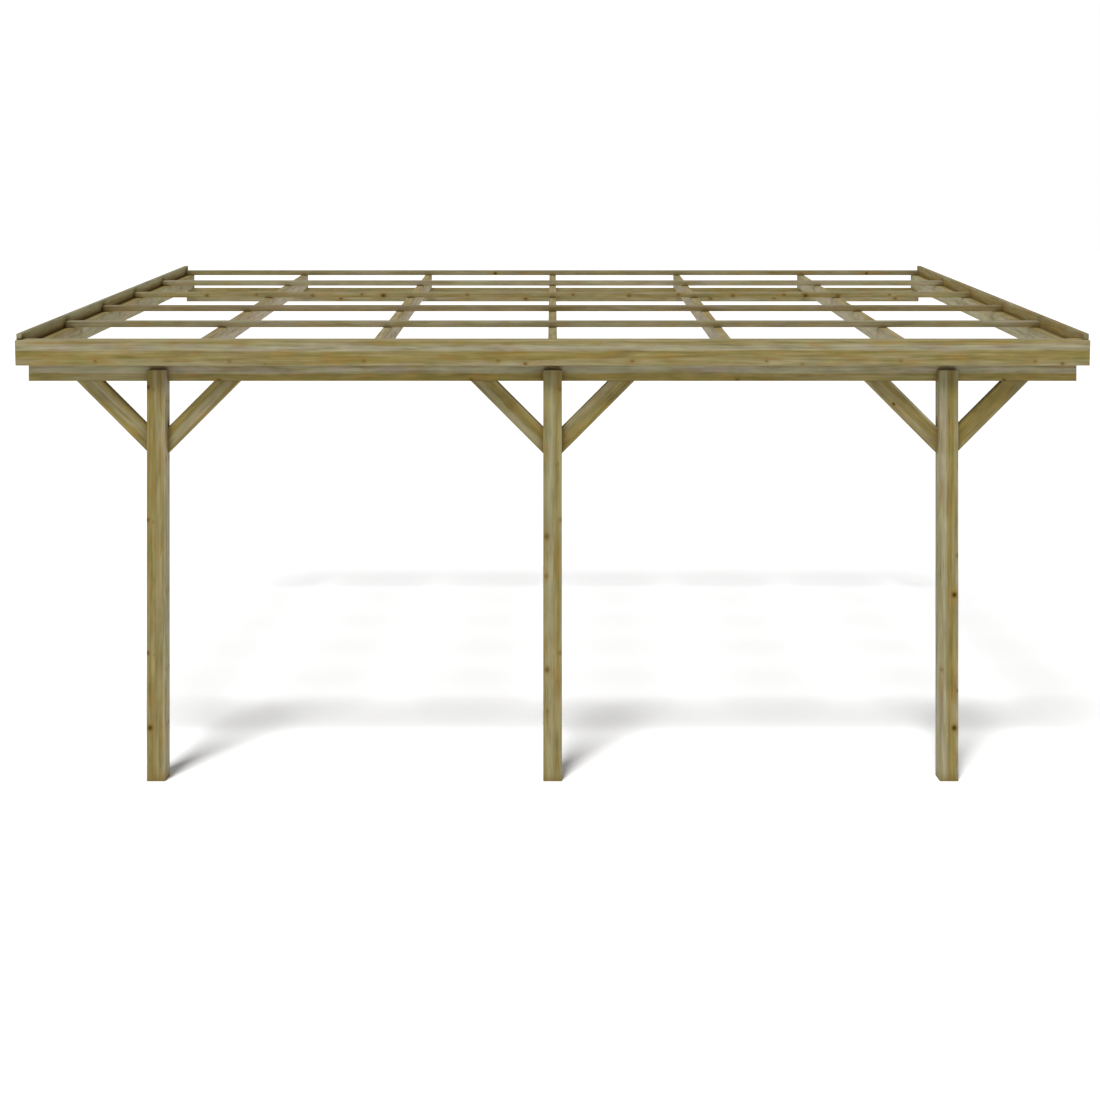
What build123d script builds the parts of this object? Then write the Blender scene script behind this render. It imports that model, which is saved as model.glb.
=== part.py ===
"""Lean-to carport frame in pressure-treated pine.

Three front posts with knee braces carry an eaves beam. Seven rafters rise from the beam to a
plate on the wall, and six battens, a fascia and two side boards complete the open roof.

Millimetres. X runs along the wall, -Y points away from it and Z is up. The origin is the
centre of the wall plate's back face, which lies on the wall.
"""

import os
from math import cos, radians, sin, tan

from build123d import *

os.makedirs("parts", exist_ok=True)

# Layout of the frame
post_spacing = 1908          # between the centre lines of neighbouring posts
beam_overhang = 628          # from the centre of an outer post to the end of the beam
wall_to_posts = 3192         # from the wall to the back faces of the posts
headroom = 1921              # from the ground to the underside of the beam
roof_pitch = 4.53            # degrees, falling from the wall to the eaves
rafter_overhang = 92         # along the slope, from the front of the beam to the rafter ends
rafter_spacing = 861.5       # between the centre lines of the inner rafters
inner_rafter_count = 5       # rafters between the two edge rafters
batten_count = 6

# Timber sections
post_size = 90
beam_thickness = 44
beam_height = 95
plate_thickness = 44
plate_height = 94
brace_thickness = 44
brace_height = 90
rafter_thickness = 44
rafter_height = 92
batten_width = 50
batten_height = 31
fascia_thickness = 22
fascia_height = 121
side_board_thickness = 24
side_board_height = 118
arris_radius = 5             # rounding of the long edges of the frame timbers and battens
board_arris_radius = 3       # rounding of the long edges of the fascia and the side boards

# Joinery
tongue_height = 56           # of the post, in front of the beam, above the shoulder that carries it
brace_reach = 351            # along the beam, from the side of the post to the end of the brace
brace_angle = 45             # degrees from level
seat_depth = 4               # of a rafter's level seat, where it is deepest
seat_clearance = 0.5         # each side of the beam and the plate in the rafter seats
side_board_rise = 30         # of the side boards above the tops of the battens

# Levels and planes that follow from the sizes above
pitch = radians(roof_pitch)
frame_length = 2 * (post_spacing + beam_overhang)
post_y = -(wall_to_posts + post_size / 2)
beam_y = -(wall_to_posts + beam_thickness / 2)
beam_front = -(wall_to_posts + beam_thickness)
plate_y = -plate_thickness / 2
plate_top = plate_height / 2
beam_top = plate_top + (beam_front + plate_thickness) * tan(pitch)
beam_bottom = beam_top - beam_height
ground = beam_bottom - headroom

# The roof plane lies on the undersides of the rafters, with its origin at their front ends:
# its X runs along the eaves, its Y up the slope and its Z out of the roof.
eaves_y = beam_front - rafter_overhang * cos(pitch)
eaves_z = beam_top - seat_depth - rafter_overhang * sin(pitch)
roof = Plane(origin=(0, eaves_y, eaves_z), x_dir=(1, 0, 0), z_dir=(0, -sin(pitch), cos(pitch)))
up_the_slope = Axis(roof.origin, roof.y_dir)
roof_depth = rafter_height + batten_height
side_board_top = roof_depth + side_board_rise
wall = Plane.XZ


def slope_to_wall(level):
    """The distance up the slope from the rafter ends to the wall, at a level above the roof plane."""
    return (level * sin(pitch) - eaves_y) / cos(pitch)


def write(piece, name):
    """Label a finished piece and write it to its own file."""
    piece.part.label = name
    export_step(piece.part, f"parts/{name}.step")


def build_post(name, x):
    """A square post whose head is rebated at the back to seat the beam behind a tongue."""
    with BuildPart() as post:
        with BuildSketch(Plane.XY.offset(ground)):
            with Locations((x, post_y)):
                RectangleRounded(post_size, post_size, arris_radius)
        extrude(amount=headroom + tongue_height)
        with BuildSketch(Plane.XY.offset(beam_bottom)):
            with Locations((x, beam_y)):
                Rectangle(post_size, beam_thickness)
        extrude(amount=tongue_height, mode=Mode.SUBTRACT)
    write(post, name)


def build_brace(name, post_x, side):
    """A knee brace from the side of a post up to the underside of the beam.

    It lies in the plane of the beam, with a plumb cut at the post and a level cut at the beam.
    """
    angle = radians(brace_angle)
    post_face = post_x + side * post_size / 2
    drop = brace_reach * tan(angle)
    level_cut = brace_height / sin(angle)
    plumb_cut = brace_height / cos(angle)
    with BuildPart() as brace:
        with BuildSketch(Plane.XZ.offset(-beam_y)):
            with BuildLine():
                Polyline(
                    (post_face, beam_bottom - drop),
                    (post_face + side * brace_reach, beam_bottom),
                    (post_face + side * (brace_reach - level_cut), beam_bottom),
                    (post_face, beam_bottom - drop + plumb_cut),
                    close=True,
                )
            make_face()
        extrude(amount=brace_thickness / 2, both=True)
        along = Axis((post_face, beam_y, beam_bottom), (side * cos(angle), 0, sin(angle)))
        fillet(brace.edges().filter_by(along), radius=arris_radius)
    write(brace, name)


def build_level_timber(name, y, z, thickness, height):
    """A level timber as long as the frame: the eaves beam or the wall plate."""
    with BuildPart() as timber:
        with BuildSketch(Plane.YZ):
            with Locations((y, z)):
                RectangleRounded(thickness, height, arris_radius)
        extrude(amount=frame_length / 2, both=True)
    write(timber, name)


def build_rafter(name, x):
    """A rafter, square at the eaves and plumb at the wall, seated on the beam and the plate."""
    length = slope_to_wall(rafter_height)
    with BuildPart() as rafter:
        with BuildSketch(roof):
            with Locations((x, length / 2)):
                Rectangle(rafter_thickness, length)
        extrude(amount=rafter_height)
        fillet(rafter.edges().filter_by(up_the_slope), radius=arris_radius)
        split(bisect_by=wall, keep=Keep.TOP)
        with BuildSketch(Plane.YZ.offset(x)):
            with Locations((beam_y, beam_top - beam_height / 2)):
                Rectangle(beam_thickness + 2 * seat_clearance, beam_height)
            with Locations((plate_y, plate_top - plate_height / 2)):
                Rectangle(plate_thickness + 2 * seat_clearance, plate_height)
        extrude(amount=rafter_thickness, both=True, mode=Mode.SUBTRACT)
    write(rafter, name)


def build_batten(name, slope_place):
    """A batten across the tops of the rafters, between the side boards."""
    with BuildPart() as batten:
        with BuildSketch(roof.offset(rafter_height)):
            with Locations((0, slope_place)):
                Rectangle(frame_length, batten_width)
        extrude(amount=batten_height)
        fillet(batten.edges().filter_by(Axis.X), radius=arris_radius)
    write(batten, name)


def build_fascia(name):
    """The board that closes the rafter ends, flush on top with the eaves batten."""
    with BuildPart() as fascia:
        with BuildSketch(roof.offset(roof_depth - fascia_height)):
            with Locations((0, -fascia_thickness / 2)):
                Rectangle(frame_length + 2 * side_board_thickness, fascia_thickness)
        extrude(amount=fascia_height)
        fillet(fascia.edges().filter_by(Axis.X), radius=board_arris_radius)
    write(fascia, name)


def build_side_board(name, side):
    """An edge board on the outer face of an edge rafter, standing above the battens."""
    x = side * (frame_length + side_board_thickness) / 2
    length = slope_to_wall(side_board_top)
    with BuildPart() as board:
        with BuildSketch(roof.offset(side_board_top - side_board_height)):
            with Locations((x, length / 2)):
                Rectangle(side_board_thickness, length)
        extrude(amount=side_board_height)
        fillet(board.edges().filter_by(up_the_slope), radius=board_arris_radius)
        split(bisect_by=wall, keep=Keep.TOP)
    write(board, name)


# Posts and their braces
for place, post_x in (("left", -post_spacing), ("middle", 0), ("right", post_spacing)):
    build_post(f"post_{place}", post_x)
    build_brace(f"brace_{place}_post_left", post_x, -1)
    build_brace(f"brace_{place}_post_right", post_x, 1)

# Level timbers
build_level_timber("eaves_beam", beam_y, beam_top - beam_height / 2, beam_thickness, beam_height)
build_level_timber("wall_plate", plate_y, plate_top - plate_height / 2, plate_thickness, plate_height)

# Rafters, numbered from the left: two flush with the ends of the beam, the others at their spacing
edge_rafter_x = (frame_length - rafter_thickness) / 2
first_inner_x = -rafter_spacing * (inner_rafter_count - 1) / 2
inner_rafter_xs = [first_inner_x + rafter_spacing * step for step in range(inner_rafter_count)]
for number, x in enumerate([-edge_rafter_x, *inner_rafter_xs, edge_rafter_x], start=1):
    build_rafter(f"rafter_{number}", x)

# Battens, numbered from the eaves and evenly spaced up to the wall
first_batten = batten_width / 2
batten_spacing = (slope_to_wall(rafter_height) - batten_width) / (batten_count - 1)
for step in range(batten_count):
    build_batten(f"batten_{step + 1}", first_batten + batten_spacing * step)

# Boards round the roof
build_fascia("front_fascia")
build_side_board("side_board_left", -1)
build_side_board("side_board_right", 1)
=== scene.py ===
"""Treated pine finish, studio light and camera for a lean-to carport frame.

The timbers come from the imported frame, in metres: X along the wall, -Y to the open front, Z up.
"""

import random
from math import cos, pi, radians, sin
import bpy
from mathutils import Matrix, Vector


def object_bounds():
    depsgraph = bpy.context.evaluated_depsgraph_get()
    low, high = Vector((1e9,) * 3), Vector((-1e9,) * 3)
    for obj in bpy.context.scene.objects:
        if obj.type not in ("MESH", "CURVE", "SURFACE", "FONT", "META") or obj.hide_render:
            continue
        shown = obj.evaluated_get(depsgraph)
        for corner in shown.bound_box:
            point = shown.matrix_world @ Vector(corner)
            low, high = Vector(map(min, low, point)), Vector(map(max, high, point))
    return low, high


bl_info = {
    "name": "Lean-to Carport Frame",
    "version": (1, 0, 0),
    "blender": (4, 5, 0),
    "location": "View3D > Sidebar > Carport",
    "description": "Finishes the timbers of a lean-to carport frame and sets its studio stage",
    "category": "Object",
}

import bpy
from bpy.props import FloatProperty, FloatVectorProperty, PointerProperty
from mathutils import Matrix, Vector

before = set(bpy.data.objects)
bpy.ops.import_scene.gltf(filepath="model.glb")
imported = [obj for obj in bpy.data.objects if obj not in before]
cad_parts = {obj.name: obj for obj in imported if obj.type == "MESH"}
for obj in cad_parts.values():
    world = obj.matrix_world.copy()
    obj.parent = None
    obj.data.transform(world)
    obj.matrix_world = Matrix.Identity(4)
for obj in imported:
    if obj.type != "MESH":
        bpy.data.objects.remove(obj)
cad_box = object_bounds()

ROOF_PITCH = radians(4.53)
BRACE_SLOPE = radians(45)
RAFTER_COUNT = 7

LEVEL = Vector((1, 0, 0))
DOWN = Vector((0, 0, -1))
UP = Vector((0, 0, 1))
UP_ROOF = Vector((0, cos(ROOF_PITCH), sin(ROOF_PITCH)))
OUT_OF_ROOF = Vector((0, -sin(ROOF_PITCH), cos(ROOF_PITCH)))

# The axes of each kind of timber: along it from its start, and the rise of its broad face. The
# wall plate has the beam's, the fascia the battens' and a side board the rafters'.
POST_AXES = (DOWN, LEVEL)
BEAM_AXES = (LEVEL, UP)
RAFTER_AXES = (UP_ROOF, OUT_OF_ROOF)
BATTEN_AXES = (LEVEL, OUT_OF_ROOF)
BRACE_AXES = {
    "left": (Vector((cos(BRACE_SLOPE), 0, -sin(BRACE_SLOPE))),
             Vector((sin(BRACE_SLOPE), 0, cos(BRACE_SLOPE)))),
    "right": (Vector((cos(BRACE_SLOPE), 0, sin(BRACE_SLOPE))),
              Vector((-sin(BRACE_SLOPE), 0, cos(BRACE_SLOPE)))),
}

# A timber's seed is that of its kind plus its own number, from 1
POST_SEED, BRACE_SEED, BEAM_SEED, RAFTER_SEED, BATTEN_SEED, BOARD_SEED = 10, 20, 30, 40, 50, 60

# Sapwood bands across a broad face, as (share of its height, share of sapwood). Sapwood above 1
# holds its band more firmly against stray heartwood.
FASCIA_BANDS = (
    (0.0, 0.45), (0.1, 0.35), (0.24, 0.15), (0.5, 0.0), (0.57, 0.05), (0.62, 0.75), (0.76, 0.9),
    (0.84, 0.5), (0.93, 0.2), (1.0, 0.35))
BEAM_BANDS = (
    (0.0, 0.25), (0.1, 0.0), (0.38, 0.0), (0.47, 0.85), (0.62, 1.2), (0.77, 0.75), (1.0, 0.2))
PLATE_BANDS = ((0.0, 0.5), (0.3, 0.6), (0.5, 0.15), (0.75, 0.35), (1.0, 0.2))
RAFTER_BANDS = ((0.0, 0.85), (0.3, 1.0), (0.7, 0.85), (0.92, 0.75), (1.0, 0.35))
POST_BANDS = {
    "left": (
        (0.0, 0.1), (0.2, 0.0), (0.45, 0.15), (0.6, 0.3), (0.75, 0.2), (0.85, 0.35), (0.94, 0.5),
        (1.0, 0.9)),
    "middle": (
        (0.0, 0.4), (0.15, 0.25), (0.28, 0.4), (0.38, 0.75), (0.5, 0.7), (0.62, 0.3), (0.78, 0.0),
        (0.92, 0.3), (1.0, 0.6)),
    "right": (
        (0.0, 1.05), (0.08, 0.6), (0.18, 0.95), (0.3, 0.9), (0.42, 0.4), (0.5, 0.1), (0.7, 0.0),
        (0.85, 0.3), (1.0, 0.8)),
}
BRACE_BANDS = {
    "left_post_left": (
        (0.0, 0.25), (0.2, 0.05), (0.45, 0.55), (0.62, 0.7), (0.75, 0.2), (1.0, 0.05)),
    "left_post_right": (
        (0.0, 0.2), (0.2, 0.05), (0.4, 0.45), (0.6, 0.55), (0.75, 0.1), (1.0, 0.2)),
    "middle_post_left": ((0.0, 0.4), (0.2, 0.6), (0.4, 0.4), (0.55, 0.0), (1.0, 0.0)),
    "middle_post_right": ((0.0, 0.1), (0.3, 0.05), (0.55, 0.1), (0.8, 0.35), (1.0, 0.3)),
    "right_post_left": (
        (0.0, 0.2), (0.3, 0.15), (0.6, 0.1), (0.84, 0.1), (0.91, 1.2), (1.0, 1.3)),
    "right_post_right": ((0.0, 0.5), (0.15, 0.3), (0.4, 0.1), (0.7, 0.0), (1.0, 0.1)),
}
BATTEN_BANDS = (
    ((0.0, 0.2), (0.5, 0.4), (1.0, 0.5)),
    ((0.0, 0.45), (0.5, 0.55), (0.85, 0.65), (1.0, 0.8)),
    ((0.0, 0.4), (0.4, 0.5), (1.0, 0.7)),
    ((0.0, 0.1), (0.5, 0.25), (1.0, 0.45)),
    ((0.0, 0.4), (0.5, 0.6), (1.0, 0.75)),
    ((0.0, 0.3), (0.5, 0.45), (1.0, 0.6)),
)
BOARD_BANDS = {
    "left": ((0.0, 0.05), (0.4, 0.2), (0.6, 0.55), (1.0, 0.85)),
    "right": ((0.0, 0.05), (0.5, 0.15), (0.7, 0.1), (0.9, 0.3), (1.0, 0.5)),
}

# Knots, as (distance from the timber's start, share up its broad face, radius, strength) and the
# depth below that face, for a knot that shows on a narrow side
FASCIA_KNOTS = (
    (0.38, 0.18, 0.0062, 0.42), (1.02, 0.17, 0.006, 0.4), (1.19, 0.06, 0.004, 0.4),
    (1.66, 0.18, 0.006, 0.38), (2.30, 0.2, 0.0062, 0.42), (2.43, 0.08, 0.0055, 0.62),
    (2.94, 0.18, 0.0062, 0.42), (3.58, 0.18, 0.006, 0.4), (3.75, 0.06, 0.004, 0.4),
    (4.22, 0.19, 0.006, 0.38), (4.86, 0.18, 0.0062, 0.42), (4.99, 0.08, 0.0055, 0.62))
BEAM_KNOTS = (
    (0.92, 0.03, 0.007, 0.7), (2.14, 0.04, 0.007, 0.6), (3.43, 0.03, 0.008, 0.7),
    (4.72, 0.04, 0.007, 0.7))
PLATE_KNOTS = (
    (1.07, 0.24, 0.009, 0.65), (2.35, 0.2, 0.009, 0.65), (3.63, 0.24, 0.009, 0.65),
    (4.07, 0.29, 0.008, 0.65), (4.91, 0.24, 0.009, 0.65))
POST_KNOTS = {
    "left": (
        (0.08, 0.07, 0.007, 0.95), (0.09, 0.35, 0.006, 0.3), (0.72, 0.06, 0.006, 0.75),
        (0.73, 0.36, 0.005, 0.3), (1.36, 0.06, 0.006, 0.75), (1.37, 0.42, 0.004, 0.3),
        (1.72, 0.19, 0.0085, 0.95), (0.15, 1.0, 0.005, 0.6, 0.02), (0.43, 1.0, 0.005, 0.6, 0.02),
        (1.07, 1.0, 0.005, 0.6, 0.02), (1.44, 1.0, 0.005, 0.6, 0.015),
        (1.51, 1.0, 0.007, 0.8, 0.07), (1.71, 1.0, 0.005, 0.6, 0.025)),
    "middle": (
        (0.09, 0.9, 0.007, 0.35), (0.45, 0.75, 0.005, 0.2), (0.72, 0.93, 0.007, 0.4),
        (0.80, 0.18, 0.0095, 0.58), (0.99, 0.14, 0.008, 0.4), (1.36, 0.9, 0.007, 0.4),
        (1.44, 0.2, 0.0095, 0.58), (1.64, 0.2, 0.006, 0.25)),
    "right": (
        (0.89, 0.95, 0.006, 0.55), (1.08, 0.77, 0.0082, 1.0), (1.44, 0.1, 0.006, 0.35),
        (1.54, 0.95, 0.005, 0.5), (1.72, 0.77, 0.0082, 1.0)),
}
BRACE_KNOTS = {
    "middle_post_left": ((0.22, 0.62, 0.013, 0.26),),
    "right_post_left": ((0.177, 0.22, 0.0048, 0.95),),
    "right_post_right": ((0.214, 0.9, 0.009, 0.26), (0.31, 0.92, 0.008, 0.22)),
}
RAFTER_KNOTS = {
    1: ((0.78, 0.62, 0.009, 0.45), (1.50, 0.61, 0.009, 0.4), (1.89, 0.8, 0.008, 0.4)),
    2: ((0.08, 1.0, 0.006, 0.5, 0.022),),
}
BATTEN_KNOTS = {
    4: ((0.44, 0.37, 0.008, 0.58), (0.74, 0.57, 0.006, 0.5), (1.08, 0.37, 0.008, 0.58),
        (1.38, 0.63, 0.006, 0.52), (1.51, 0.37, 0.01, 0.85), (2.02, 0.55, 0.006, 0.52),
        (2.66, 0.55, 0.006, 0.52), (3.00, 0.37, 0.008, 0.58), (3.30, 0.57, 0.006, 0.5),
        (3.63, 0.37, 0.008, 0.58), (3.94, 0.57, 0.006, 0.52), (4.07, 0.37, 0.01, 0.85),
        (4.27, 0.37, 0.008, 0.5), (4.58, 0.55, 0.006, 0.5)),
    6: ((2.14, 0.4, 0.008, 0.9), (4.71, 0.4, 0.008, 0.9)),
}

# The plain look of a timber. The looks after it hold what sets each kind of timber apart from it,
# and those by name or number what sets one timber apart from its kind.
PLAIN_LOOK = {
    "tone": 1.0,  # brightness
    "grey": 0.4,  # share of lilac in the sapwood
    "warm": 0.0,  # more resin streaks, or fewer
    "stray": 1.0,  # how far sapwood strays out of its bands
    "mottle": 1.0,  # strength of the blotches
    "painted_upper_light": 1.0,  # painted light or shade: brightness of the side that the rise points out of, against the others
    "ends": 1.0,  # brightness of the cut ends, against the sides
    "grime": 0.35,  # strength of the painted shade, a darkening in the joints and near other timbers
    "side_painted_shade": 1.0,  # that painted shade on the other sides, against the side of the rise
    "reach": 1.0,  # how far that painted shade spreads, against the reach of the painted shade in the settings
    "painted_head_shadow": 0.0,  # strength of the painted shadow at the timber's start
}
# Posts start at their heads, so their start gets a painted shadow. In all these looks the upper
# brightness is painted light or shade on the side of the rise, and the joint darkening is painted
# shade.
POST_LOOK = {"tone": 0.96, "grey": 0.25, "painted_upper_light": 1.06, "reach": 1.5, "painted_head_shadow": 0.3}
POST_LOOKS = {"middle": {"grey": -0.1}}
BRACE_LOOK = {"mottle": 1.8, "painted_upper_light": 0.75}
BRACE_TONES = {
    "left_post_left": 0.96, "left_post_right": 0.93, "middle_post_left": 0.91,
    "middle_post_right": 0.9, "right_post_left": 0.9, "right_post_right": 0.86,
}
BEAM_LOOK = {"mottle": 1.3, "grime": 0.33, "reach": 0.85}
PLATE_LOOK = {"tone": 0.85}
RAFTER_LOOK = {
    "tone": 1.14, "grey": 0.7, "painted_upper_light": 0.88, "grime": 0.95, "side_painted_shade": 0.25, "reach": 0.9,
}
RAFTER_LOOKS = {
    1: {"tone": 1.08, "grey": 0.3, "warm": 0.06},
    2: {"tone": 1.27, "grey": 1.3, "painted_upper_light": 0.73},
    3: {"tone": 1.21, "grey": 1.0, "painted_upper_light": 0.9},
    5: {"tone": 1.09, "grey": 0.9, "painted_upper_light": 0.95},
    7: {"grey": 0.3, "grime": 0.6},
}
BATTEN_LOOK = {"stray": 0.5, "painted_upper_light": 0.92, "grime": 0.2}
BATTEN_LOOKS = {3: {"grey": 1.0, "warm": 0.2}}
BATTEN_TONES = (1.06, 0.88, 0.74, 0.96, 0.91, 0.77)
FASCIA_LOOK = {"tone": 0.97, "painted_upper_light": 1.1}
# The left board's darker, wider painted shade and its darker upper side stand for the shadow on its
# inner face
BOARD_LOOKS = {
    "left": {
        "tone": 1.03, "grey": -0.2, "warm": -0.05, "painted_upper_light": 0.72, "ends": 1.3, "grime": 0.97,
        "reach": 1.5,
    },
    "right": {
        "tone": 1.11, "grey": 0.6, "warm": 0.11, "painted_upper_light": 0.72, "ends": 0.82, "grime": 0.3,
        "reach": 0.4,
    },
}

# Patterns of the grain, as (cells a metre along it, cells a metre across it, detail, roughness)
SLOW_WANDER = (0.8, 4.0, 1.0, 0.5)
QUICK_WANDER = (4.0, 14.0, 2.0, 0.5)
UNEVEN_RINGS = (0.0, 60.0, 1.0, 0.5)
WIDE_STREAKS = (1.2, 24.0, 2.0, 0.5)
NARROW_STREAKS = (2.8, 85.0, 3.0, 0.6)
FIBRES = (10.0, 520.0, 3.0, 0.65)
BLOTCHES = (9.0, 28.0, 2.0, 0.5)
OLIVE_PATCHES = (7.5, 34.0, 2.0, 0.5)
LILAC_PATCHES = (6.0, 28.0, 2.0, 0.5)
RESIN_STREAKS = (7.0, 30.0, 2.0, 0.5)
DARK_STREAKS = (5.0, 48.0, 2.0, 0.5)
ARRIS_WEAR = (14.0, 30.0, 2.0, 0.5)
SEED_SHIFT = (17.3, 41.9, 29.7)  # how far a pattern moves for each 1 of the seed

# How far patterns swing to both sides of their mean
SLOW_SWING, QUICK_SWING = 1.0, 0.3
WIDE_SWING, NARROW_SWING = 0.7, 0.5
BLOTCH_SWING, FIBRE_SWING, LILAC_SWING = 0.25, 0.12, 1.8

# Ranges of a pattern, a facing or an openness, from where something sets in to where it is whole
OLIVE_RANGE = (0.42, 0.62)
RESIN_RANGE = (0.51, 0.68)
DARK_RANGE = (0.56, 0.74)
WEAR_RANGE = (0.35, 0.65)
ARRIS_RANGE = (0.0, 0.7)
END_FACING = (0.35, 0.6)
LIFTED_FACING = (0.5, 0.9)
JOINT_OPENNESS = (0.95, 0.42)

# Greatest shares of colours that are mixed in
RESIN_SHARE, RESIN_IN_SAPWOOD = 0.7, 0.3
RING_SHARE, DARK_SHARE, HALO_SHARE, ARRIS_SHARE = 0.35, 0.45, 0.7, 0.15
SHADE_TINT_SHARE = 1.5  # of the joint's painted shade, so that its warm brown tint, also painted shade, reaches further out than the darkening

# Brightness, roughness and height, from the low end of a pattern to its high end
NARROW_TONES = (0.62, 1.42)
RING_TONES = (1.1, 0.6)
CORE_TONES = (0.95, 1.45)
ROUGHNESS = (0.6, 0.78)
END_ROUGHNESS, KNOT_POLISH = 0.12, 0.15
RING_HEIGHT, FIBRE_HEIGHT, KNOT_DIP = 0.5, 0.5, 0.4
SPECULAR = 0.05

# A knot's spots: how they stretch along the grain, how wide the halo is and how fast they fade
KNOT_STRETCH, HALO_STRETCH, HALO_WIDTH = 0.85, 0.7, 1.8
SPOT_FADE, PUSH_FADE = 0.5, 0.2
PUSH_SHARE = 0.9

# Growth rings: how far the pith lies below and aside, and the shape of a ring's dark line
PITH_DROP = (0.12, 0.25)
PITH_LEAN = (-0.03, 0.03)
RING_SHIFT = 3.0  # rings by which uneven growth moves the lines
LATEWOOD_POWER, LATEWOOD_END = 2.5, 0.86
FULL_WANDER_HEIGHT = 0.1  # of a face on which the grain wanders in full

SEED_RANGE = (0.0, 10.0)
HEAD_SHADOW_LENGTH = 0.2  # length of the painted shadow at a timber's start
JOINT_SAMPLES = 8  # rays that look for a timber nearby, for the painted shade

PINE_COLOURS = (
    "heartwood", "olive", "sapwood", "lilac", "warm_streak", "latewood", "knot", "end_grain",
    "grime")


class CarportTimber(bpy.types.PropertyGroup):
    """Colours and grain of the treated pine"""

    heartwood: FloatVectorProperty(
        name="Heartwood", description="Yellow brown of the heartwood bands",
        subtype="COLOR", min=0, max=1, default=(0.275, 0.211, 0.070))
    olive: FloatVectorProperty(
        name="Olive", description="Greener patches of the heartwood",
        subtype="COLOR", min=0, max=1, default=(0.232, 0.194, 0.055))
    sapwood: FloatVectorProperty(
        name="Sapwood", description="Grey green of the sapwood, where the preservative soaks in",
        subtype="COLOR", min=0, max=1, default=(0.347, 0.330, 0.202))
    lilac: FloatVectorProperty(
        name="Lilac", description="Greyer, lilac patches of the sapwood",
        subtype="COLOR", min=0, max=1, default=(0.372, 0.322, 0.242))
    # Warm streak is also the warm tint of the painted shade in the joints
    warm_streak: FloatVectorProperty(
        name="Warm Streak",
        description="Orange brown of resin streaks, of the tint of painted shade in joints and of the wood round a knot",
        subtype="COLOR", min=0, max=1, default=(0.300, 0.190, 0.052))
    latewood: FloatVectorProperty(
        name="Latewood", description="Dark line of each growth ring",
        subtype="COLOR", min=0, max=1, default=(0.165, 0.128, 0.038))
    knot: FloatVectorProperty(
        name="Knot", description="Brown core of a knot",
        subtype="COLOR", min=0, max=1, default=(0.070, 0.036, 0.003))
    end_grain: FloatVectorProperty(
        name="End Grain", description="Cut ends, which soak up the most preservative",
        subtype="COLOR", min=0, max=1, default=(0.250, 0.228, 0.140))
    ring_width: FloatProperty(
        name="Ring Width", description="Mean width of a growth ring",
        subtype="DISTANCE", unit="LENGTH", min=0.001, max=0.02, default=0.0042)
    wander: FloatProperty(
        name="Grain Wander", description="How far the grain strays across a face along a timber",
        subtype="DISTANCE", unit="LENGTH", min=0, max=0.05, default=0.008)
    grain_depth: FloatProperty(
        name="Grain Depth", description="Height of the raised grain",
        subtype="DISTANCE", unit="LENGTH", min=0, max=0.003, default=0.0006)
    # Painted shade: the colour that darkens the timber in joints and near other timbers, where
    # ambient occlusion finds one, and how far that reaches
    grime: FloatVectorProperty(
        name="Grime", description="Painted shade in the joints and near other timbers",
        subtype="COLOR", min=0, max=1, default=(0.060, 0.040, 0.008))
    shade_reach: FloatProperty(
        name="Shade Reach", description="How far painted shade spreads out of a joint",
        subtype="DISTANCE", unit="LENGTH", min=0.001, max=0.5, default=0.045)
    arris: FloatProperty(
        name="Arris", description="Width of the worn, rounded edges",
        subtype="DISTANCE", unit="LENGTH", min=0.001, max=0.02, default=0.005)


class CarportStage(bpy.types.PropertyGroup):
    """Floor, light and camera"""

    floor: FloatVectorProperty(
        name="Floor", description="Colour of the floor",
        subtype="COLOR", min=0, max=1, default=(0.667, 0.667, 0.667))
    floor_size: FloatProperty(
        name="Floor Size", description="Length of the floor's sides",
        subtype="DISTANCE", unit="LENGTH", min=10, max=2000, default=600)
    sun: FloatProperty(
        name="Sun", description="Strength of the soft key light", min=0, max=10, default=1.9)
    floor_sun: FloatProperty(
        name="Floor Sun",
        description="Strength of a lamp along the key light that is linked to the floor alone",
        min=0, max=10, default=3.0)
    sun_angle: FloatProperty(
        name="Sun Angle",
        description="Width of the key light as seen from the frame, which softens shadows",
        subtype="ANGLE", unit="ROTATION", min=0, max=pi, default=radians(15))
    sun_travel: FloatVectorProperty(
        name="Sun Travel", description="Direction that the key light travels in",
        subtype="DIRECTION", default=(0.35, 1.0, -1.9))
    sky: FloatProperty(
        name="Sky", description="Strength of the even light from all round",
        min=0, max=5, default=0.4)
    camera_place: FloatVectorProperty(
        name="Camera Place", description="Where the level camera stands, looking along +Y",
        subtype="TRANSLATION", unit="LENGTH", default=(0.0, -10.631, 0.3888))
    lens: FloatProperty(
        name="Lens", description="Focal length in millimetres on a 36 mm frame",
        unit="CAMERA", min=10, max=300, default=50)
    shift: FloatVectorProperty(
        name="Shift", description="Lens shift across and up, as shares of the picture",
        size=2, default=(-0.00235, -0.2831))


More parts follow.
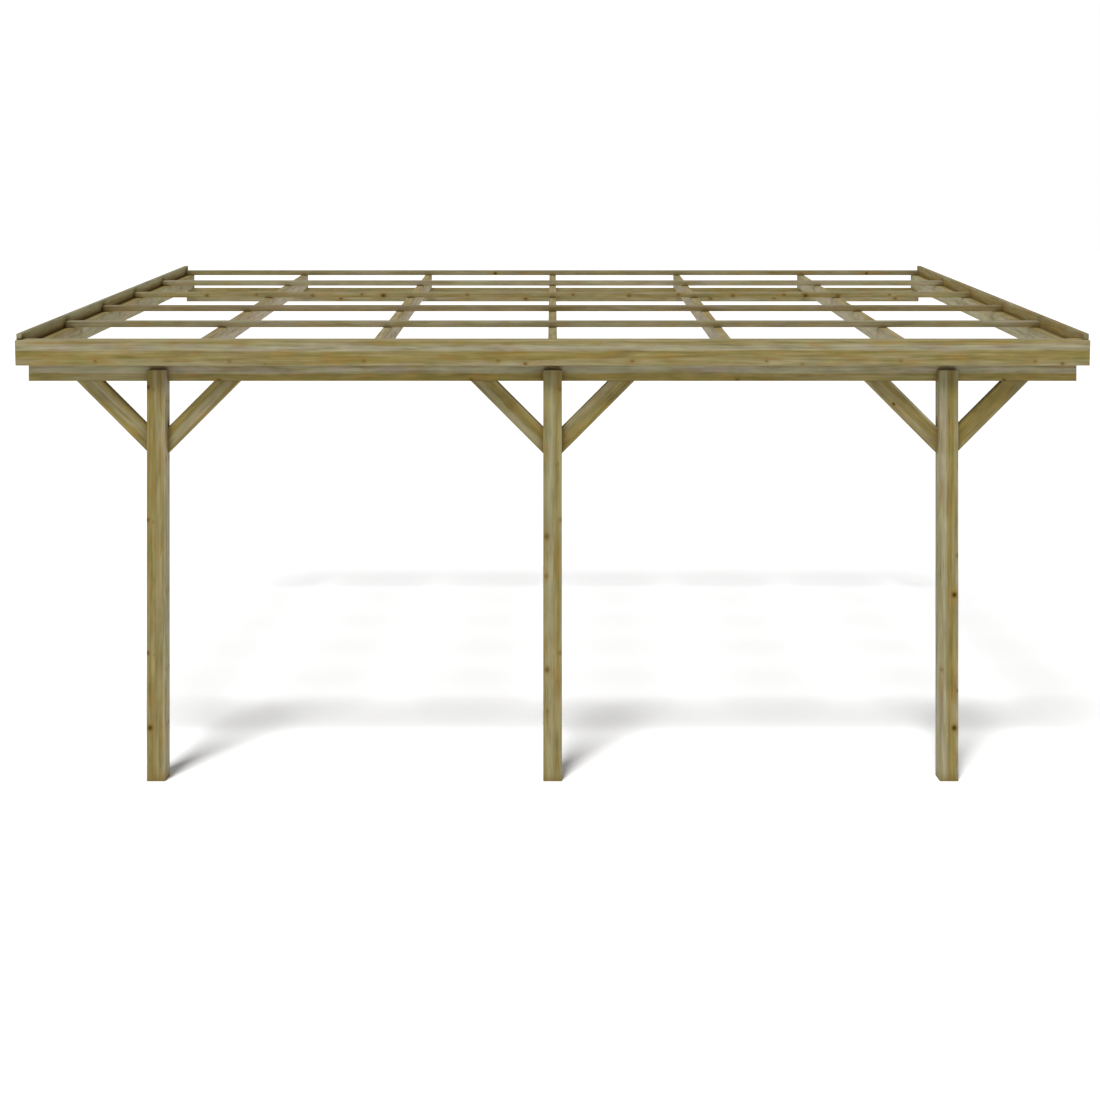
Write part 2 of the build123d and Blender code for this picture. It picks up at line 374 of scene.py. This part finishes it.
class Net:
    """A node tree that is being wired. Most methods add nodes and return their output."""

    # The colour sockets of a Mix node go by place, because its other kinds share their names
    MIX_SHARE, MIX_FIRST, MIX_SECOND, MIX_RESULT = 0, 6, 7, 2

    def __init__(self, tree):
        self.tree = tree

    def add(self, kind, **settings):
        node = self.tree.nodes.new(kind)
        for name, value in settings.items():
            setattr(node, name, value)
        return node

    def feed(self, socket, value):
        if isinstance(value, bpy.types.NodeSocket):
            self.tree.links.new(value, socket)
        else:
            socket.default_value = value

    def feed_all(self, node, values):
        for socket, value in zip(node.inputs, values):
            self.feed(socket, value)

    def math(self, operation, *values, clamp=False):
        node = self.add("ShaderNodeMath", operation=operation, use_clamp=clamp)
        self.feed_all(node, values)
        return node.outputs[0]

    def vector(self, operation, *values, scale=None, output="Vector"):
        node = self.add("ShaderNodeVectorMath", operation=operation)
        self.feed_all(node, values)
        if scale is not None:
            self.feed(node.inputs["Scale"], scale)
        return node.outputs[output]

    def combine(self, x, y, z):
        node = self.add("ShaderNodeCombineXYZ")
        self.feed_all(node, (x, y, z))
        return node.outputs[0]

    def separate(self, vector):
        node = self.add("ShaderNodeSeparateXYZ")
        self.feed(node.inputs[0], vector)
        return node.outputs

    def ease(self, value, low, high, bottom=0.0, top=1.0):
        """A smooth step from bottom to top, as value goes from low to high."""
        node = self.add("ShaderNodeMapRange", interpolation_type="SMOOTHSTEP")
        self.feed_all(node, (value, low, high, bottom, top))
        return node.outputs[0]

    def spread(self, value, bottom, top):
        """A value from 0 to 1, spread evenly from bottom to top."""
        return self.math("MULTIPLY_ADD", value, top - bottom, bottom)

    def swing(self, value, reach):
        """A value from 0 to 1, spread evenly to both sides of 0."""
        return self.spread(value, -reach, reach)

    def mix(self, share, first, second, blend="MIX"):
        node = self.add("ShaderNodeMix", data_type="RGBA", blend_type=blend)
        self.feed(node.inputs[self.MIX_SHARE], share)
        self.feed(node.inputs[self.MIX_FIRST], first)
        self.feed(node.inputs[self.MIX_SECOND], second)
        return node.outputs[self.MIX_RESULT]

    def streaks(self, place, seed, pattern):
        """Noise from 0 to 1 in one of the patterns of the grain."""
        along, across, detail, roughness = pattern
        stretched = self.vector("MULTIPLY", place, (along, across, across))
        shift = self.vector("SCALE", SEED_SHIFT, scale=seed)
        node = self.add("ShaderNodeTexNoise", noise_dimensions="3D")
        self.feed(node.inputs["Vector"], self.vector("ADD", stretched, shift))
        self.feed(node.inputs["Scale"], 1.0)
        self.feed(node.inputs["Detail"], detail)
        self.feed(node.inputs["Roughness"], roughness)
        return node.outputs[0]

    def group(self, tree, values):
        node = self.add("ShaderNodeGroup", node_tree=tree)
        for name, value in values.items():
            self.feed(node.inputs[name], value)
        return node.outputs


def opaque(colour):
    """A colour with full alpha, as sockets take it."""
    return (*colour, 1.0)


def colour_label(name):
    """The label of the socket that takes one of the pine's colours."""
    return f"{name.replace('_', ' ').title()} Color"


def new_group(name, inputs, outputs):
    """An empty shader node group, and the net, inputs and outputs to wire it with.

    Inputs and outputs are given as the labels of each kind of socket.
    """
    tree = bpy.data.node_groups.new(name, "ShaderNodeTree")
    for direction, sockets in (("INPUT", inputs), ("OUTPUT", outputs)):
        for kind, labels in sockets.items():
            for label in labels:
                tree.interface.new_socket(
                    label, in_out=direction, socket_type=f"NodeSocket{kind}")
    net = Net(tree)
    return tree, net, net.add("NodeGroupInput").outputs, net.add("NodeGroupOutput").inputs


def knot_group(name):
    """One knot, dark with a warm halo, which joins the knots before it and parts the grain."""
    tree, net, given, out = new_group(
        name,
        {"Vector": ("Place",),
         "Float": ("Skin", "Along", "Rise", "Depth", "Radius", "Strength", "Core", "Halo", "Push")},
        {"Float": ("Core", "Halo", "Push")})
    x, y, _ = net.separate(given["Place"])
    run = net.math("MULTIPLY", net.math("SUBTRACT", x, given["Along"]), KNOT_STRETCH)
    rise = net.math("SUBTRACT", y, given["Rise"])
    under = net.math("SUBTRACT", given["Skin"], given["Depth"])

    def spot(fade, stretch=1.0, width=1.0):
        offset = net.combine(net.math("MULTIPLY", run, stretch), rise, under)
        radius = net.math("MULTIPLY", given["Radius"], width)
        share = net.math("DIVIDE", net.vector("LENGTH", offset, output="Value"), radius)
        return net.math("EXPONENT", net.math("MULTIPLY", net.math("POWER", share, 2.0), -fade))

    for label, mask in (("Core", spot(SPOT_FADE)),
                        ("Halo", spot(SPOT_FADE, HALO_STRETCH, HALO_WIDTH))):
        mask = net.math("MULTIPLY", mask, given["Strength"])
        net.feed(out[label], net.math("MAXIMUM", given[label], mask))
    side = net.math("TANH", net.math("DIVIDE", rise, given["Radius"]))
    push = net.math("MULTIPLY", net.math("MULTIPLY", side, spot(PUSH_FADE)), given["Radius"])
    net.feed(out["Push"], net.math("MULTIPLY_ADD", push, PUSH_SHARE, given["Push"]))
    return tree


def growth_group(name):
    """Growth rings round a pith below the timber: their level on its face, and their dark lines."""
    tree, net, given, out = new_group(
        name,
        {"Vector": ("Place",),
         "Float": ("Push", "Seed", "Height", "Pith Drop", "Pith Lean", "Wander", "Ring Width")},
        {"Float": ("Face Share", "Ring"), "Vector": ("Grain Place",)})
    place, seed = given["Place"], given["Seed"]
    x, y, z = net.separate(place)
    slow = net.swing(net.streaks(place, seed, SLOW_WANDER), SLOW_SWING)
    quick = net.swing(net.streaks(place, seed, QUICK_WANDER), QUICK_SWING)
    stray = net.math("MULTIPLY", net.math("ADD", slow, quick), given["Wander"])
    level = net.math("ADD", net.math("SUBTRACT", y, given["Push"]), stray)
    above = net.math("ADD", level, given["Pith Drop"])
    aside = net.math("SUBTRACT", z, given["Pith Lean"])
    radius = net.vector("LENGTH", net.combine(above, aside, 0.0), output="Value")
    face_level = net.math("SUBTRACT", radius, given["Pith Drop"])
    net.feed(out["Grain Place"], net.combine(x, face_level, z))
    face_share = net.math("ADD", net.math("DIVIDE", face_level, given["Height"]), 0.5)
    net.feed(out["Face Share"], face_share)

    count = net.math("DIVIDE", radius, given["Ring Width"])
    uneven = net.streaks(net.combine(0.0, radius, 0.0), seed, UNEVEN_RINGS)
    turn = net.math("FRACT", net.math("MULTIPLY_ADD", uneven, RING_SHIFT, count))
    dark = net.math("POWER", turn, LATEWOOD_POWER)
    net.feed(out["Ring"], net.math("MULTIPLY", dark, net.ease(turn, 1.0, LATEWOOD_END)))
    return tree


def arris_group(name):
    """The rounded edges of a timber, where two of its sides meet."""
    tree, net, given, out = new_group(
        name, {"Vector": ("Place", "Half Size"), "Float": ("Width", "Seed")}, {"Float": ("Arris",)})
    past = net.vector("SUBTRACT", net.vector("ABSOLUTE", given["Place"]), given["Half Size"])
    a, b, c = net.separate(past)
    most = net.math("MAXIMUM", net.math("MAXIMUM", a, b), c)
    least = net.math("MINIMUM", net.math("MINIMUM", a, b), c)
    total = net.vector("DOT_PRODUCT", past, (1, 1, 1), output="Value")
    middle = net.math("SUBTRACT", total, net.math("ADD", most, least))
    near = net.math("DIVIDE", net.math("ADD", middle, given["Width"]), given["Width"])
    wear = net.streaks(given["Place"], given["Seed"], ARRIS_WEAR)
    worn = net.math("MULTIPLY", net.ease(near, *ARRIS_RANGE), net.ease(wear, *WEAR_RANGE))
    net.feed(out["Arris"], worn)
    return tree


def pine_group(name):
    """The colour, roughness and raised grain of treated pine, with painted shade mixed into the
    colour.
    """
    tree, net, given, out = new_group(
        name,
        {"Vector": ("Place",),
         "Float": ("Seed", "Tone", "Grey", "Mottle", "Band", "Stray", "Warm", "Ring", "Knot Core",
                   "Knot Halo", "End", "Arris", "Joint Shade", "Head Shadow"),
         "Color": [colour_label(colour) for colour in PINE_COLOURS]},
        {"Color": ("Color",), "Float": ("Roughness", "Height")})

    def streaks(pattern):
        return net.streaks(given["Place"], given["Seed"], pattern)

    def share_of(mask, share, clamp=False):
        return net.math("MULTIPLY", mask, share, clamp=clamp)

    narrow = streaks(NARROW_STREAKS)
    fibre = streaks(FIBRES)

    # Bands of heartwood and sapwood, with their patches
    stray = net.math("ADD", net.swing(streaks(WIDE_STREAKS), WIDE_SWING),
                     net.swing(narrow, NARROW_SWING))
    sap = net.math("MULTIPLY_ADD", stray, given["Stray"], given["Band"], clamp=True)
    green = net.ease(streaks(OLIVE_PATCHES), *OLIVE_RANGE)
    heartwood = net.mix(green, given["Heartwood Color"], given["Olive Color"])
    patches = net.swing(streaks(LILAC_PATCHES), LILAC_SWING)
    grey = net.math("ADD", given["Grey"], patches, clamp=True)
    sapwood = net.mix(grey, given["Sapwood Color"], given["Lilac Color"])
    colour = net.mix(sap, heartwood, sapwood)

    # Resin, growth rings and dark streaks
    resin = net.math("ADD", streaks(RESIN_STREAKS), given["Warm"])
    resin = net.ease(resin, *RESIN_RANGE, 0.0, RESIN_SHARE)
    resin = net.math("MULTIPLY", resin, net.spread(sap, 1.0, RESIN_IN_SAPWOOD))
    colour = net.mix(resin, colour, given["Warm Streak Color"])
    colour = net.mix(share_of(given["Ring"], RING_SHARE), colour, given["Latewood Color"])
    dark = net.ease(streaks(DARK_STREAKS), *DARK_RANGE, 0.0, DARK_SHARE)
    colour = net.mix(dark, colour, given["Latewood Color"])

    # Cut ends, and the brightness of sides and ends
    end_colour = net.mix(
        1.0, given["End Grain Color"], net.spread(given["Ring"], *RING_TONES), "MULTIPLY")
    colour = net.mix(given["End"], colour, end_colour)
    tone = net.math("MULTIPLY_ADD", net.swing(streaks(BLOTCHES), BLOTCH_SWING), given["Mottle"],
                    net.spread(narrow, *NARROW_TONES))
    tone = net.math("ADD", tone, net.swing(fibre, FIBRE_SWING))
    tone = net.math("MULTIPLY", tone, given["Tone"])
    colour = net.mix(1.0, colour, tone, "MULTIPLY")

    # Knots, worn edges, and painted shade: a warm brown tint and a darkening near joints and at the
    # timber's start
    core = share_of(given["Knot Core"], net.spread(narrow, *CORE_TONES), clamp=True)
    colour = net.mix(share_of(given["Knot Halo"], HALO_SHARE), colour, given["Warm Streak Color"])
    colour = net.mix(core, colour, given["Knot Color"])
    colour = net.mix(share_of(given["Arris"], ARRIS_SHARE), colour, given["Sapwood Color"])
    # Painted shade: a warm brown tint near the joints
    shade_tint = share_of(given["Joint Shade"], SHADE_TINT_SHARE, clamp=True)
    colour = net.mix(shade_tint, colour, given["Warm Streak Color"])
    # Painted shade: the darkening in the joints and at the timber's start
    shade_mask = net.math("MAXIMUM", given["Joint Shade"], given["Head Shadow"])
    net.feed(out["Color"], net.mix(shade_mask, colour, given["Grime Color"]))

    matte = net.math("ADD", net.spread(narrow, *ROUGHNESS), share_of(given["End"], END_ROUGHNESS))
    net.feed(out["Roughness"], net.math("SUBTRACT", matte, share_of(core, KNOT_POLISH)))
    grain = net.math("ADD", share_of(given["Ring"], RING_HEIGHT), share_of(fibre, FIBRE_HEIGHT))
    net.feed(out["Height"], net.math("SUBTRACT", grain, share_of(core, KNOT_DIP)))
    return tree


def shared_group(name, build):
    """A node group, which is built the first time that a timber needs it."""
    return bpy.data.node_groups.get(name) or build(name)


def new_material(name):
    """A material with no nodes, in the place of an older one, and the net to wire it with."""
    stale = bpy.data.materials.get(name)
    if stale:
        bpy.data.materials.remove(stale)
    material = bpy.data.materials.new(name)
    material.use_nodes = True
    material.node_tree.nodes.clear()
    return material, Net(material.node_tree)


def timber_measure(name, along, rise):
    """The centre, turn and size of a timber in its axes: along, up and out of its broad face."""
    axes = Matrix((along, rise, along.cross(rise)))
    corners = [axes @ vertex.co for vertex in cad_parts[name].data.vertices]
    low = Vector([min(corner[axis] for corner in corners) for axis in range(3)])
    high = Vector([max(corner[axis] for corner in corners) for axis in range(3)])
    back = axes.transposed()
    return back @ ((low + high) / 2), back.to_euler(), high - low


def knot_masks(net, place, size, knots):
    """The cores and halos of a timber's knots, and how far they push the grain aside."""
    skin = net.math("SUBTRACT", size.z / 2, net.math("ABSOLUTE", net.separate(place)[2]))
    core, halo, push = 0.0, 0.0, 0.0
    for start, share, radius, strength, *depth in knots:
        core, halo, push = net.group(shared_group("Knot", knot_group), {
            "Place": place, "Skin": skin, "Along": start - size.x / 2,
            "Rise": (share - 0.5) * size.y, "Depth": depth[0] if depth else 0.0,
            "Radius": radius, "Strength": strength, "Core": core, "Halo": halo, "Push": push})
    return core, halo, push


def sapwood_band(net, face_share, bands):
    """The share of sapwood at each height of a face."""
    node = net.add("ShaderNodeValToRGB")
    ramp = node.color_ramp
    ramp.interpolation = "EASE"
    while len(ramp.elements) < len(bands):
        ramp.elements.new(0.5)
    for element, (share, sapwood) in zip(ramp.elements, bands):
        element.position = share
        element.color = opaque((sapwood, sapwood, sapwood))
    net.feed(node.inputs[0], face_share)
    return node.outputs[0]


def finish_timber(settings, name, axes, seed, bands, knots=(), **changes):
    """Give one timber its own pine, with the grain along it, painted light or shade on the side of
    its rise and painted shade where it meets another.
    """
    look = PLAIN_LOOK | changes
    along, rise = axes
    centre, turn, size = timber_measure(name, along, rise)
    start = -size.x / 2
    chance = random.Random(seed)
    seed_share = chance.uniform(*SEED_RANGE)
    material, net = new_material(f"pine_{name}")

    coordinates = net.add("ShaderNodeTexCoord").outputs
    mapping = net.add("ShaderNodeMapping", vector_type="TEXTURE")
    net.feed(mapping.inputs["Vector"], coordinates["Object"])
    net.feed(mapping.inputs["Location"], centre)
    net.feed(mapping.inputs["Rotation"], turn)
    place = mapping.outputs[0]

    def facing(direction):
        return net.vector("DOT_PRODUCT", coordinates["Normal"], direction, output="Value")

    core, halo, push = knot_masks(net, place, size, knots)
    face_share, ring, grain_place = net.group(shared_group("Growth Rings", growth_group), {
        "Place": place, "Push": push, "Seed": seed_share, "Height": size.y,
        "Pith Drop": chance.uniform(*PITH_DROP), "Pith Lean": chance.uniform(*PITH_LEAN),
        "Wander": settings.wander * min(1.0, size.y / FULL_WANDER_HEIGHT),
        "Ring Width": settings.ring_width})
    arris = net.group(shared_group("Arris", arris_group), {
        "Place": place, "Half Size": size / 2, "Width": settings.arris, "Seed": seed_share})[0]
    end = net.ease(net.math("ABSOLUTE", facing(along)), *END_FACING)
    lifted = net.ease(facing(rise), *LIFTED_FACING)
    # Painted light or shade: the side that the rise points out of is brighter or darker by the
    # upper share
    tone = net.spread(lifted, look["tone"], look["tone"] * look["painted_upper_light"])

    # Painted shade: ambient occlusion darkens the colour near other timbers, in full on the side of
    # the rise and scaled by the side share elsewhere
    nearby = net.add("ShaderNodeAmbientOcclusion", samples=JOINT_SAMPLES)
    nearby.inputs["Distance"].default_value = settings.shade_reach * look["reach"]
    joint_shade = net.ease(nearby.outputs["AO"], *JOINT_OPENNESS, 0.0, look["grime"])
    joint_shade = net.math("MULTIPLY", joint_shade, net.spread(lifted, look["side_painted_shade"], 1.0))
    # Painted shadow: a darkening from the timber's start, off its upper side
    head_shadow = net.ease(net.separate(place)[0], start + HEAD_SHADOW_LENGTH, start, 0.0, look["painted_head_shadow"])
    head_shadow = net.math("MULTIPLY", head_shadow, net.spread(lifted, 1.0, 0.0))

    colour, roughness, height = net.group(shared_group("Treated Pine", pine_group), {
        "Place": grain_place, "Seed": seed_share, "Grey": look["grey"], "Mottle": look["mottle"],
        "Tone": net.math("MULTIPLY", tone, net.spread(end, 1.0, look["ends"])),
        "Band": sapwood_band(net, face_share, bands), "Stray": look["stray"],
        "Warm": look["warm"], "Ring": ring, "Knot Core": core, "Knot Halo": halo, "End": end,
        "Arris": arris, "Joint Shade": joint_shade, "Head Shadow": head_shadow,
        **{colour_label(each): opaque(getattr(settings, each)) for each in PINE_COLOURS}})
    bump = net.add("ShaderNodeBump")
    bump.inputs["Distance"].default_value = settings.grain_depth
    net.feed(bump.inputs["Height"], height)
    shader = net.add("ShaderNodeBsdfPrincipled")
    net.feed(shader.inputs["Base Color"], colour)
    net.feed(shader.inputs["Roughness"], roughness)
    net.feed(shader.inputs["Normal"], bump.outputs[0])
    shader.inputs["Specular IOR Level"].default_value = SPECULAR
    net.feed(net.add("ShaderNodeOutputMaterial").inputs["Surface"], shader.outputs[0])
    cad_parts[name].material_slots[0].material = material


class CARPORT_OT_posts(bpy.types.Operator):
    """Finish the three front posts"""

    bl_idname = "carport.finish_posts"
    bl_label = "Finish Posts"

    def execute(self, context):
        settings = context.scene.carport_timber
        for number, (place, bands) in enumerate(POST_BANDS.items(), start=1):
            look = POST_LOOK | POST_LOOKS.get(place, {})
            finish_timber(settings, f"post_{place}", POST_AXES, POST_SEED + number, bands,
                          POST_KNOTS[place], **look)
        return {"FINISHED"}


class CARPORT_OT_braces(bpy.types.Operator):
    """Finish the knee braces, two at each post"""

    bl_idname = "carport.finish_braces"
    bl_label = "Finish Braces"

    def execute(self, context):
        settings = context.scene.carport_timber
        for number, (place, bands) in enumerate(BRACE_BANDS.items(), start=1):
            side = place.rsplit("_", 1)[1]
            finish_timber(settings, f"brace_{place}", BRACE_AXES[side], BRACE_SEED + number, bands,
                          BRACE_KNOTS.get(place, ()), tone=BRACE_TONES[place], **BRACE_LOOK)
        return {"FINISHED"}


class CARPORT_OT_level_timbers(bpy.types.Operator):
    """Finish the eaves beam and the wall plate"""

    bl_idname = "carport.finish_level_timbers"
    bl_label = "Finish Beam and Plate"

    def execute(self, context):
        settings = context.scene.carport_timber
        finish_timber(settings, "eaves_beam", BEAM_AXES, BEAM_SEED + 1, BEAM_BANDS, BEAM_KNOTS,
                      **BEAM_LOOK)
        finish_timber(settings, "wall_plate", BEAM_AXES, BEAM_SEED + 2, PLATE_BANDS, PLATE_KNOTS,
                      **PLATE_LOOK)
        return {"FINISHED"}


class CARPORT_OT_rafters(bpy.types.Operator):
    """Finish the seven rafters"""

    bl_idname = "carport.finish_rafters"
    bl_label = "Finish Rafters"

    def execute(self, context):
        settings = context.scene.carport_timber
        for number in range(1, RAFTER_COUNT + 1):
            look = RAFTER_LOOK | RAFTER_LOOKS.get(number, {})
            finish_timber(settings, f"rafter_{number}", RAFTER_AXES, RAFTER_SEED + number,
                          RAFTER_BANDS, RAFTER_KNOTS.get(number, ()), **look)
        return {"FINISHED"}


class CARPORT_OT_battens(bpy.types.Operator):
    """Finish the six battens"""

    bl_idname = "carport.finish_battens"
    bl_label = "Finish Battens"

    def execute(self, context):
        settings = context.scene.carport_timber
        for number, (bands, tone) in enumerate(zip(BATTEN_BANDS, BATTEN_TONES), start=1):
            look = BATTEN_LOOK | BATTEN_LOOKS.get(number, {})
            finish_timber(settings, f"batten_{number}", BATTEN_AXES, BATTEN_SEED + number, bands,
                          BATTEN_KNOTS.get(number, ()), tone=tone, **look)
        return {"FINISHED"}


class CARPORT_OT_boards(bpy.types.Operator):
    """Finish the fascia and the two side boards"""

    bl_idname = "carport.finish_boards"
    bl_label = "Finish Boards"

    def execute(self, context):
        settings = context.scene.carport_timber
        finish_timber(settings, "front_fascia", BATTEN_AXES, BOARD_SEED + 1, FASCIA_BANDS,
                      FASCIA_KNOTS, **FASCIA_LOOK)
        for number, (side, bands) in enumerate(BOARD_BANDS.items(), start=2):
            finish_timber(settings, f"side_board_{side}", RAFTER_AXES, BOARD_SEED + number, bands,
                          **BOARD_LOOKS[side])
        return {"FINISHED"}


class CARPORT_OT_stage(bpy.types.Operator):
    """Set the floor, the light and the camera"""

    bl_idname = "carport.set_stage"
    bl_label = "Set Stage"

    def execute(self, context):
        scene = context.scene
        settings = scene.carport_stage
        scene.view_settings.view_transform = "Standard"
        self.lay_floor(scene, settings)
        self.light(scene, settings)
        self.surround(scene, settings)
        self.place_camera(scene, settings)
        return {"FINISHED"}

    def lay_floor(self, scene, settings):
        half = settings.floor_size / 2
        ground = cad_box[0][2]
        corners = [(x * half, y * half, ground) for x, y in ((-1, -1), (1, -1), (1, 1), (-1, 1))]
        mesh = bpy.data.meshes.new("floor")
        mesh.from_pydata(corners, [], [(0, 1, 2, 3)])
        floor = bpy.data.objects.new("floor", mesh)
        scene.collection.objects.link(floor)

        material, net = new_material("pale_floor")
        paint = net.add("ShaderNodeBsdfDiffuse")
        paint.inputs["Color"].default_value = opaque(settings.floor)
        net.feed(net.add("ShaderNodeOutputMaterial").inputs["Surface"], paint.outputs[0])
        mesh.materials.append(material)

    def add_sun(self, scene, settings, name, strength):
        lamp = bpy.data.lights.new(name, "SUN")
        lamp.energy = strength
        lamp.angle = settings.sun_angle
        sun = bpy.data.objects.new(name, lamp)
        sun.rotation_euler = Vector(settings.sun_travel).to_track_quat("-Z", "Y").to_euler()
        scene.collection.objects.link(sun)
        return sun

    def light(self, scene, settings):
        self.add_sun(scene, settings, "key_light", settings.sun)
        floor_light = self.add_sun(scene, settings, "floor_light", settings.floor_sun)
        lit = bpy.data.collections.new("lit_by_floor_light")
        lit.objects.link(scene.objects["floor"])
        floor_light.light_linking.receiver_collection = lit

    def surround(self, scene, settings):
        """An even sky, which is white where it is seen or mirrored."""
        world = bpy.data.worlds.new("white_studio")
        world.use_nodes = True
        world.node_tree.nodes.clear()
        net = Net(world.node_tree)
        rays = net.add("ShaderNodeLightPath").outputs
        seen = net.math("MAXIMUM", rays["Is Camera Ray"], rays["Is Transmission Ray"])
        seen = net.math("MAXIMUM", seen, rays["Is Glossy Ray"])
        backdrop = net.add("ShaderNodeBackground")
        backdrop.inputs["Color"].default_value = opaque((1.0, 1.0, 1.0))
        net.feed(backdrop.inputs["Strength"], net.spread(seen, settings.sky, 1.0))
        net.feed(net.add("ShaderNodeOutputWorld").inputs["Surface"], backdrop.outputs[0])
        scene.world = world

    def place_camera(self, scene, settings):
        lens = bpy.data.cameras.new("camera")
        lens.lens = settings.lens
        lens.shift_x, lens.shift_y = settings.shift
        lens.clip_end = settings.floor_size * 2
        camera = bpy.data.objects.new("camera", lens)
        camera.location = settings.camera_place
        camera.rotation_euler = (pi / 2, 0, 0)
        scene.collection.objects.link(camera)
        scene.camera = camera


class CARPORT_PT_panel(bpy.types.Panel):
    """The frame's finish and stage"""

    bl_idname = "CARPORT_PT_panel"
    bl_label = "Carport"
    bl_space_type = "VIEW_3D"
    bl_region_type = "UI"
    bl_category = "Carport"

    def draw(self, context):
        for settings in (context.scene.carport_timber, context.scene.carport_stage):
            box = self.layout.box()
            for name in settings.bl_rna.properties.keys():
                if name not in ("rna_type", "name"):
                    box.prop(settings, name)
        for operator in OPERATORS:
            self.layout.operator(operator.bl_idname)


OPERATORS = (
    CARPORT_OT_posts,
    CARPORT_OT_braces,
    CARPORT_OT_level_timbers,
    CARPORT_OT_rafters,
    CARPORT_OT_battens,
    CARPORT_OT_boards,
    CARPORT_OT_stage,
)
CLASSES = (CarportTimber, CarportStage, *OPERATORS, CARPORT_PT_panel)


def register():
    for cls in CLASSES:
        bpy.utils.register_class(cls)
    bpy.types.Scene.carport_timber = PointerProperty(type=CarportTimber)
    bpy.types.Scene.carport_stage = PointerProperty(type=CarportStage)


def unregister():
    del bpy.types.Scene.carport_timber
    del bpy.types.Scene.carport_stage
    for cls in reversed(CLASSES):
        bpy.utils.unregister_class(cls)


def main():
    """Finish every timber and set the stage."""
    register()
    bpy.ops.carport.finish_posts()
    bpy.ops.carport.finish_braces()
    bpy.ops.carport.finish_level_timbers()
    bpy.ops.carport.finish_rafters()
    bpy.ops.carport.finish_battens()
    bpy.ops.carport.finish_boards()
    bpy.ops.carport.set_stage()


if __name__ == "__main__":
    main()
